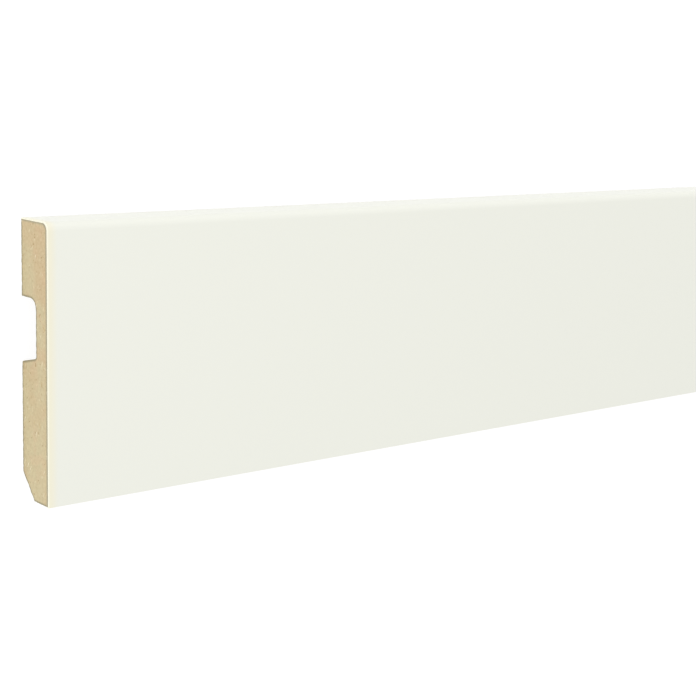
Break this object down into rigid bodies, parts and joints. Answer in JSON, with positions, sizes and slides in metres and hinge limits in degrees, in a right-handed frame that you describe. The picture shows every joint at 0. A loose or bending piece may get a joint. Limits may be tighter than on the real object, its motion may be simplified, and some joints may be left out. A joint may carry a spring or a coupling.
{
  "type": "skirting board length",
  "caption": "Straight length of foil-wrapped MDF skirting board with a rounded top edge and a cable channel in its back.",
  "frame": {"origin": "under the middle of the board, on the plane of its back, which lies on the floor", "axes": "+X along the length, +Y towards the edge that is on top once the board is on a wall, +Z out of the white face"},
  "size_m": [2.4, 0.08, 0.015],
  "materials": {
    "mdf": "matte",
    "white_foil": "satin"
  },
  "bodies": {
    "root": {"mdf_core": "mdf", "foil_wrap": "white_foil"}
  },
  "joints": []
}
